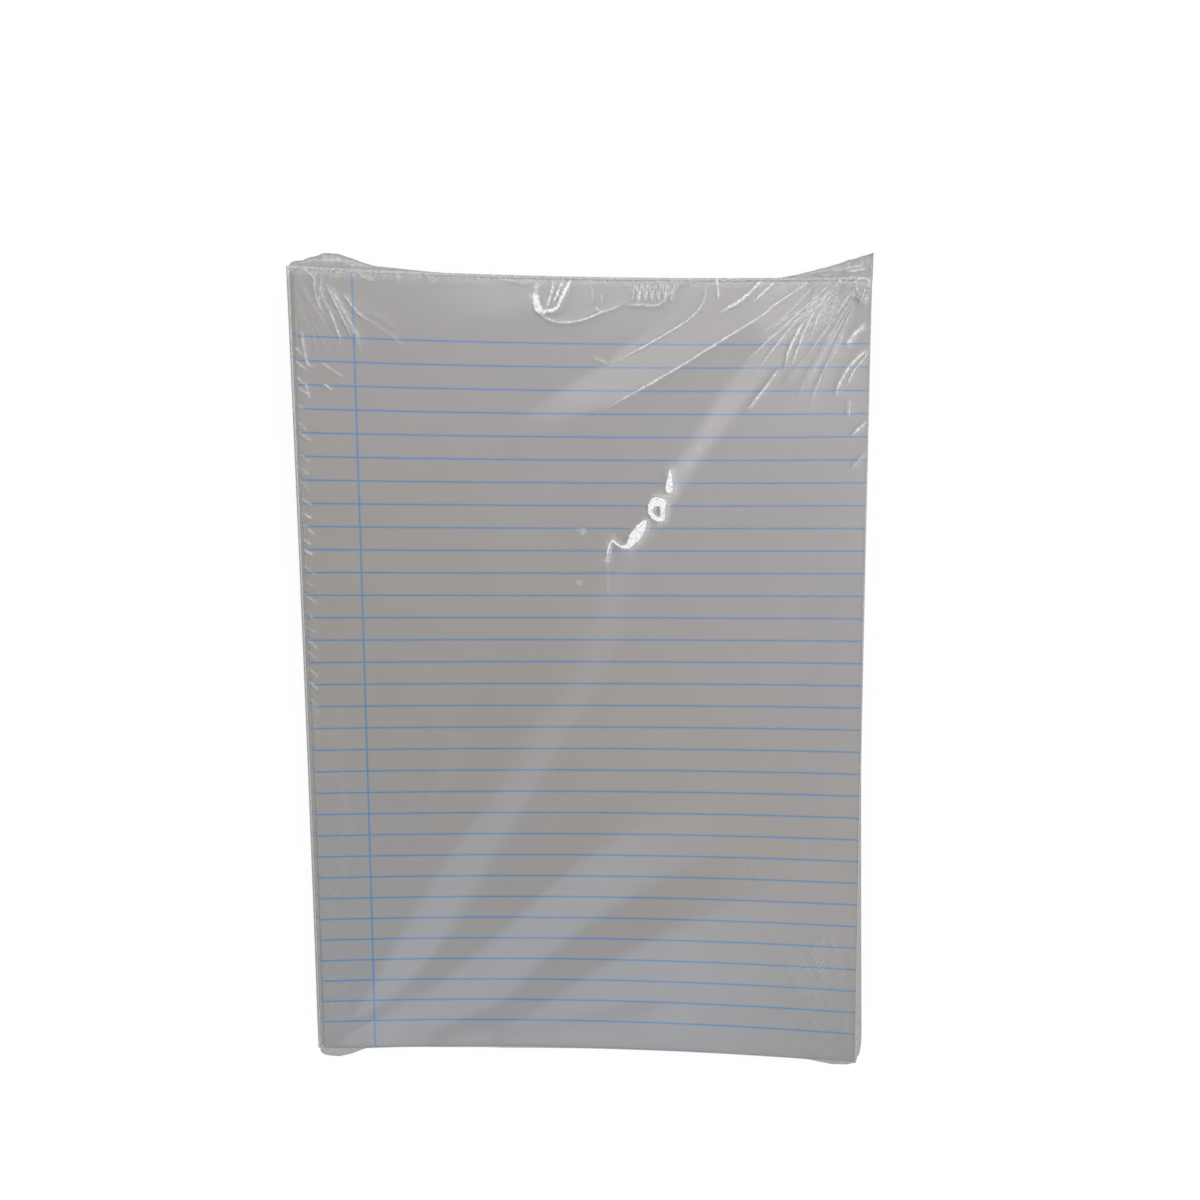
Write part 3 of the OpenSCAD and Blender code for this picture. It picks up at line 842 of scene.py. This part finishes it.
def line_ends():
    """Where the print of the lower sheets shows past the edge of the top group."""
    share = STRAY[-1]
    left = front_left - share * slide_x + SHEET_JITTER
    lift = share * slide_y
    level = stack_top - front_t
    strips = []
    for k in range(LINE_COUNT):
        y = front_head - HEAD_SPACE - k * LINE_PITCH + lift
        strips.append((left, front_left, y - LINE_W / 2, y + LINE_W / 2))
    x = front_left - share * slide_x + MARGIN_SPACE
    strips.append((x - LINE_W / 2, x + LINE_W / 2, front_head, front_head + lift - SHEET_JITTER))
    points, faces = [], []
    for x0, x1, y0, y1 in strips:
        base = len(points)
        corners = [(x0, y0), (x1, y0), (x1, y1), (x0, y1)]
        for height in (level - INK_SUNK, level + INK_T):
            points += [(x, y, curl(x, y) + height) for x, y in corners]
        faces.append([base + 3, base + 2, base + 1, base])
        faces.append([base + 4, base + 5, base + 6, base + 7])
        faces += [[base + k, base + (k + 1) % 4, base + 4 + (k + 1) % 4, base + 4 + k] for k in range(4)]
    return make_mesh("line_ends", points, faces, smooth=False)


# Materials
def start_material(name):
    material = bpy.data.materials.new(name)
    material.use_nodes = True
    material.node_tree.nodes.clear()
    return material, material.node_tree


def add_node(tree, kind, settings=None, inputs=None):
    """A node with its settings and input values. An input may also be another node's output."""
    node = tree.nodes.new(kind)
    for key, value in (settings or {}).items():
        setattr(node, key, value)
    for key, value in (inputs or {}).items():
        if isinstance(value, bpy.types.NodeSocket):
            tree.links.new(value, node.inputs[key])
        else:
            node.inputs[key].default_value = value
    return node


def math_node(tree, operation, a, b=0.5, clamp=False):
    settings = {"operation": operation, "use_clamp": clamp}
    return add_node(tree, "ShaderNodeMath", settings, {0: a, 1: b}).outputs[0]


def noise(tree, place, scale, detail=3.0):
    node = add_node(tree, "ShaderNodeTexNoise", None, {"Vector": place, "Scale": scale, "Detail": detail})
    return node.outputs["Fac"]


def ranged(tree, value, low, high, to_low, to_high):
    """A value mapped in a straight line from low and high to their new values, and held there beyond."""
    node = add_node(
        tree,
        "ShaderNodeMapRange",
        None,
        {"Value": value, "From Min": low, "From Max": high, "To Min": to_low, "To Max": to_high},
    )
    return node.outputs["Result"]


def mix_colour(tree, factor, a, b, blend="MIX"):
    node = tree.nodes.new("ShaderNodeMix")
    node.data_type = "RGBA"
    node.blend_type = blend
    for socket, value in ((node.inputs[0], factor), (node.inputs[6], a), (node.inputs[7], b)):
        if isinstance(value, bpy.types.NodeSocket):
            tree.links.new(value, socket)
        else:
            socket.default_value = value
    return node.outputs[2]


def attribute(tree, name):
    return add_node(tree, "ShaderNodeAttribute", {"attribute_name": name}).outputs["Fac"]


def bump(tree, height, strength, distance):
    """A normal that follows a height, which is the distance in millimetres at 1."""
    inputs = {"Strength": strength, "Distance": distance * MM, "Height": height}
    return add_node(tree, "ShaderNodeBump", None, inputs).outputs[0]


def principled(tree, inputs):
    return add_node(tree, "ShaderNodeBsdfPrincipled", None, inputs).outputs[0]


def mix_shader(tree, share, first, second):
    return add_node(tree, "ShaderNodeMixShader", None, {0: share, 1: first, 2: second}).outputs[0]


def finish_material(tree, shader):
    add_node(tree, "ShaderNodeOutputMaterial", None, {"Surface": shader})


def object_place(tree):
    return add_node(tree, "ShaderNodeTexCoord").outputs["Object"]


# Colours of the paper, the print and the film, and the tone of the darkest sheet's edge
PAPER = (0.318, 0.288, 0.249, 1)
SHOW_THROUGH = (0.255, 0.264, 0.3, 1)
INK = (0.06, 0.2, 0.4, 1)
INK_THIN = (0.12, 0.25, 0.41, 1)
INK_SPREAD = (0.17, 0.245, 0.36, 1)
MILK = (0.445, 0.44, 0.4, 1)
# The white of the creases and of the painted highlights, and the brighter white of their painted glints
CREASE_AND_HIGHLIGHT_WHITE = (0.66, 0.64, 0.58, 1)
BRIGHT_GLINT_WHITE = (0.9, 0.88, 0.82, 1)
SHEET_DARKEST = 0.86

# How much the ink tints the paper by the lines and how far, and how much the underside's margin shows through
SPREAD_SHARE, SPREAD_FROM, SPREAD_TO = 0.5, 0.15 * MM, 0.65 * MM
SPREAD_END = 0.9 * MM
THROUGH_SHARE, THROUGH_FROM, THROUGH_TO = 0.4, 0.15 * MM, 0.6 * MM


def ink_spread(tree, place):
    """How much the ink has spread into the paper beside the print of the front."""
    part = add_node(tree, "ShaderNodeSeparateXYZ", None, {0: place})
    down = math_node(tree, "SUBTRACT", (front_head - HEAD_SPACE) * MM, part.outputs["Y"])
    off = math_node(tree, "PINGPONG", down, LINE_PITCH / 2 * MM)
    feint = ranged(tree, off, SPREAD_FROM, SPREAD_TO, SPREAD_SHARE, 0.0)
    last = (LINE_COUNT - 1) * LINE_PITCH * MM
    past_first = ranged(tree, down, -SPREAD_END - 0.1 * MM, -SPREAD_END, 0.0, 1.0)
    past_last = ranged(tree, down, last + SPREAD_END, last + SPREAD_END + 0.1 * MM, 1.0, 0.0)
    feint = math_node(tree, "MULTIPLY", feint, math_node(tree, "MULTIPLY", past_first, past_last))
    across = math_node(tree, "SUBTRACT", part.outputs["X"], (front_left + MARGIN_SPACE) * MM)
    across = math_node(tree, "ABSOLUTE", across)
    margin = ranged(tree, across, SPREAD_FROM, SPREAD_TO, SPREAD_SHARE, 0.0)
    normal = add_node(tree, "ShaderNodeNewGeometry").outputs["Normal"]
    up = add_node(tree, "ShaderNodeSeparateXYZ", None, {0: normal}).outputs["Z"]
    on_face = ranged(tree, up, 0.5, 0.7, 0.0, 1.0)
    return math_node(tree, "MULTIPLY", math_node(tree, "MAXIMUM", feint, margin), on_face)


def paper_material():
    """Matt paper with a fine fibre and a faint cloud. The edges of the sheets differ in tone."""
    material, tree = start_material("paper")
    place = object_place(tree)
    fibre = ranged(tree, noise(tree, place, 1400.0, 4.0), 0.3, 0.7, 0.97, 1.03)
    cloud = ranged(tree, noise(tree, place, 45.0, 2.0), 0.3, 0.7, 0.985, 1.015)
    sheet = ranged(tree, attribute(tree, "tone"), 0, 1, SHEET_DARKEST, 1.0)
    shade = math_node(tree, "MULTIPLY", math_node(tree, "MULTIPLY", fibre, cloud), sheet)
    x = add_node(tree, "ShaderNodeSeparateXYZ", None, {0: place}).outputs["X"]
    off = math_node(tree, "SUBTRACT", x, (front_right - REVERSE_SPACE) * MM)
    off = math_node(tree, "ABSOLUTE", off)
    through = ranged(tree, off, THROUGH_FROM, THROUGH_TO, THROUGH_SHARE, 0.0)
    base = mix_colour(tree, through, PAPER, SHOW_THROUGH)
    base = mix_colour(tree, ink_spread(tree, place), base, INK_SPREAD)
    colour = mix_colour(tree, 1.0, base, shade, "MULTIPLY")
    grain = bump(tree, noise(tree, place, 2600.0), 0.15, 0.02)
    shader = principled(
        tree, {"Base Color": colour, "Roughness": 0.85, "Specular IOR Level": 0.2, "Normal": grain}
    )
    finish_material(tree, shader)
    return material


def ink_material(name):
    material, tree = start_material(name)
    place = object_place(tree)
    breaks = ranged(tree, noise(tree, place, 900.0, 4.0), 0.35, 0.65, 0.0, 0.6)
    colour = mix_colour(tree, breaks, INK, INK_THIN)
    shader = principled(tree, {"Base Color": colour, "Roughness": 0.8, "Specular IOR Level": 0.2})
    finish_material(tree, shader)
    return material


# The share of light that the film mirrors seen straight on, and how much more at a glance
GLOSS, GLANCE_GLOSS = 0.085, 0.8
MILK_GLOW = 0.2


def film_material():
    """Clear film with a gloss, made milky by the haze of the mesh and white by its creases, partly painted
    glints, and by its painted highlights.
    """
    material, tree = start_material("film")
    place = object_place(tree)
    ripple = bump(tree, noise(tree, place, 260.0), 0.12, 0.1)
    weight = add_node(tree, "ShaderNodeLayerWeight", None, {"Blend": 0.5, "Normal": ripple})
    glance = math_node(tree, "POWER", weight.outputs["Facing"], 5.0)
    gloss = math_node(tree, "ADD", math_node(tree, "MULTIPLY", glance, GLANCE_GLOSS), GLOSS, clamp=True)
    clear = add_node(tree, "ShaderNodeBsdfTransparent").outputs[0]
    mirror = principled(
        tree, {"Base Color": (1, 1, 1, 1), "Metallic": 1.0, "Roughness": 0.07, "Normal": ripple}
    )
    skin = mix_shader(tree, gloss, clear, mirror)

    milk = principled(tree, {"Base Color": MILK, "Roughness": 0.25, "Normal": ripple})
    glow = add_node(tree, "ShaderNodeBsdfTranslucent", None, {"Color": MILK}).outputs[0]
    patches = ranged(tree, noise(tree, place, 700.0), 0.3, 0.7, 0.76, 1.1)
    patchy = math_node(tree, "MULTIPLY", attribute(tree, "haze"), patches, clamp=True)
    milky = mix_shader(tree, patchy, skin, mix_shader(tree, MILK_GLOW, milk, glow))

    # The creases and painted highlights are white, brighter in patches of painted glints
    glints = ranged(tree, noise(tree, place, 1300.0, 2.0), 0.35, 0.65, 0.0, 1.0)
    white_and_glint_colour = mix_colour(tree, glints, CREASE_AND_HIGHLIGHT_WHITE, BRIGHT_GLINT_WHITE)
    white = principled(tree, {"Base Color": white_and_glint_colour, "Roughness": 0.3, "Normal": ripple})
    breaks = ranged(tree, noise(tree, place, 900.0), 0.35, 0.65, 0.35, 1.1)
    broken = math_node(tree, "MULTIPLY", attribute(tree, "crease"), breaks, clamp=True)
    finish_material(tree, mix_shader(tree, broken, milky, white))
    return material


def dress(piece, material):
    piece.data.materials.clear()
    piece.data.materials.append(material)


# Pieces
film = film_cover()
dress(film, film_material())
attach(film, BODY)
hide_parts("film_wrap")

paper = paper_sheets()
dress(paper, paper_material())
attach(paper, BODY)
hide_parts("paper_stack")

feint_ink = ink_material("feint_ink")
margin_ink = ink_material("margin_ink")
ends = line_ends()
dress(ends, feint_ink)
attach(ends, BODY)
for node in ("ruled_lines", "reverse_lines"):
    dress(frame["nodes"][node], feint_ink)
for node in ("margin_line", "reverse_margin"):
    dress(frame["nodes"][node], margin_ink)


# Floor, backdrop and lamps. The floor keeps a share of its shade, and is white for the rest.
FLOOR_HALF, FLOOR_DROP = 3000.0, 0.2
FLOOR_WHITE = 0.9


def floor():
    signs = ((-1, -1), (1, -1), (1, 1), (-1, 1))
    corners = [(x * FLOOR_HALF, y * FLOOR_HALF, -FLOOR_DROP) for x, y in signs]
    piece = make_mesh("floor", corners, [[0, 1, 2, 3]], smooth=False)
    material, tree = start_material("floor")
    path = add_node(tree, "ShaderNodeLightPath")
    seen = math_node(tree, "ADD", path.outputs["Is Camera Ray"], path.outputs["Is Glossy Ray"], clamp=True)
    seen = math_node(tree, "ADD", seen, path.outputs["Is Transmission Ray"], clamp=True)
    matt = add_node(tree, "ShaderNodeBsdfDiffuse", None, {"Color": (1, 1, 1, 1)}).outputs[0]
    white = add_node(tree, "ShaderNodeEmission", None, {"Color": (1, 1, 1, 1), "Strength": 1.0}).outputs[0]
    share = math_node(tree, "MULTIPLY", seen, FLOOR_WHITE)
    finish_material(tree, mix_shader(tree, share, matt, white))
    dress(piece, material)


def world():
    """White at the horizon and grey overhead, with soft glows round the zenith that the film mirrors."""
    made = bpy.data.worlds.new("studio")
    bpy.context.scene.world = made
    made.use_nodes = True
    tree = made.node_tree
    tree.nodes.clear()
    way = add_node(tree, "ShaderNodeTexCoord").outputs["Generated"]
    part = add_node(tree, "ShaderNodeSeparateXYZ", None, {0: way})
    x, y, z = (part.outputs[key] for key in "XYZ")
    sky = ranged(tree, z, 0.0, 0.8, 1.0, 0.3)
    overhead = ranged(tree, z, 0.64, 0.8, 0.0, 1.0)
    foot_sky = math_node(tree, "MULTIPLY", ranged(tree, y, -0.4, -0.2, 1.0, 0.0), overhead)
    foot_right = math_node(tree, "SUBTRACT", x, math_node(tree, "MULTIPLY", y, 0.8))
    head_left = math_node(tree, "SUBTRACT", y, x)
    right_tint = ranged(tree, y, -0.28, -0.14, 1.0, 0.0)
    right_glow = mix_colour(tree, right_tint, (1.0, 0.98, 0.92, 1), (0.15, 0.75, 1.1, 1))
    glows = (
        (x, -0.1, 0.12, (0.6, 0.6, 0.75, 1)),
        (y, -0.1, 0.2, (0.3, 0.3, 0.35, 1)),
        (foot_right, 0.16, 0.26, (0.5, 0.5, 0.54, 1)),
        (x, 0.12, 0.19, right_glow),
        (head_left, 0.2, 0.27, (0.8, 0.8, 0.8, 1)),
        (y, 0.2, 0.3, (0.25, 0.25, 0.25, 1)),
    )
    colour = mix_colour(tree, sky, (0, 0, 0, 1), (1, 1, 1, 1))
    colour = mix_colour(tree, foot_sky, colour, (0.12, 0.32, 0.62, 1))
    for side, start, full, glow in glows:
        share = math_node(tree, "MULTIPLY", ranged(tree, side, start, full, 0.0, 1.0), overhead)
        colour = mix_colour(tree, share, colour, glow, "ADD")
    back = add_node(tree, "ShaderNodeBackground", None, {"Color": colour, "Strength": 1.0})
    add_node(tree, "ShaderNodeOutputWorld", None, {"Surface": back.outputs[0]})


def lamp(name, place, width, length, radiance):
    """An area lamp aimed at the origin, whose surface has the given radiance, where 1 is white."""
    light = bpy.data.lights.new(name, "AREA")
    light.shape = "RECTANGLE"
    light.size = width * MM
    light.size_y = length * MM
    light.energy = radiance * math.pi * light.size * light.size_y
    piece = bpy.data.objects.new(name, light)
    bpy.context.scene.collection.objects.link(piece)
    piece.location = [v * MM for v in place]
    x, y, z = place
    piece.rotation_euler = (math.atan2(math.hypot(x, y), z), 0, math.atan2(-y, -x) - math.pi / 2)


# The camera, fitted to the photograph
CAMERA_PLACE = (4.8, 38.9, 411.7)
CAMERA_TURN = (-6.53, -0.21, 0.13)
CAMERA_LENS, CAMERA_SENSOR, CAMERA_SHIFT = 31.2, 36, 0.08
CAMERA_NEAR = 10.0


def camera():
    data = bpy.data.cameras.new("camera")
    data.lens = CAMERA_LENS
    data.sensor_width = CAMERA_SENSOR
    data.shift_y = CAMERA_SHIFT
    data.clip_start = CAMERA_NEAR * MM
    piece = bpy.data.objects.new("camera", data)
    bpy.context.scene.collection.objects.link(piece)
    piece.location = [v * MM for v in CAMERA_PLACE]
    piece.rotation_euler = [math.radians(v) for v in CAMERA_TURN]
    bpy.context.scene.camera = piece


floor()
world()
lamp("left_strip", (-1000, 200, 1000), 500, 1500, 0.35)
lamp("head_strip", (-450, 1100, 1000), 1300, 160, 1)
lamp("foot_strip", (800, -800, 1000), 1000, 450, 0.25)
camera()
bpy.context.scene.view_settings.view_transform = "Standard"
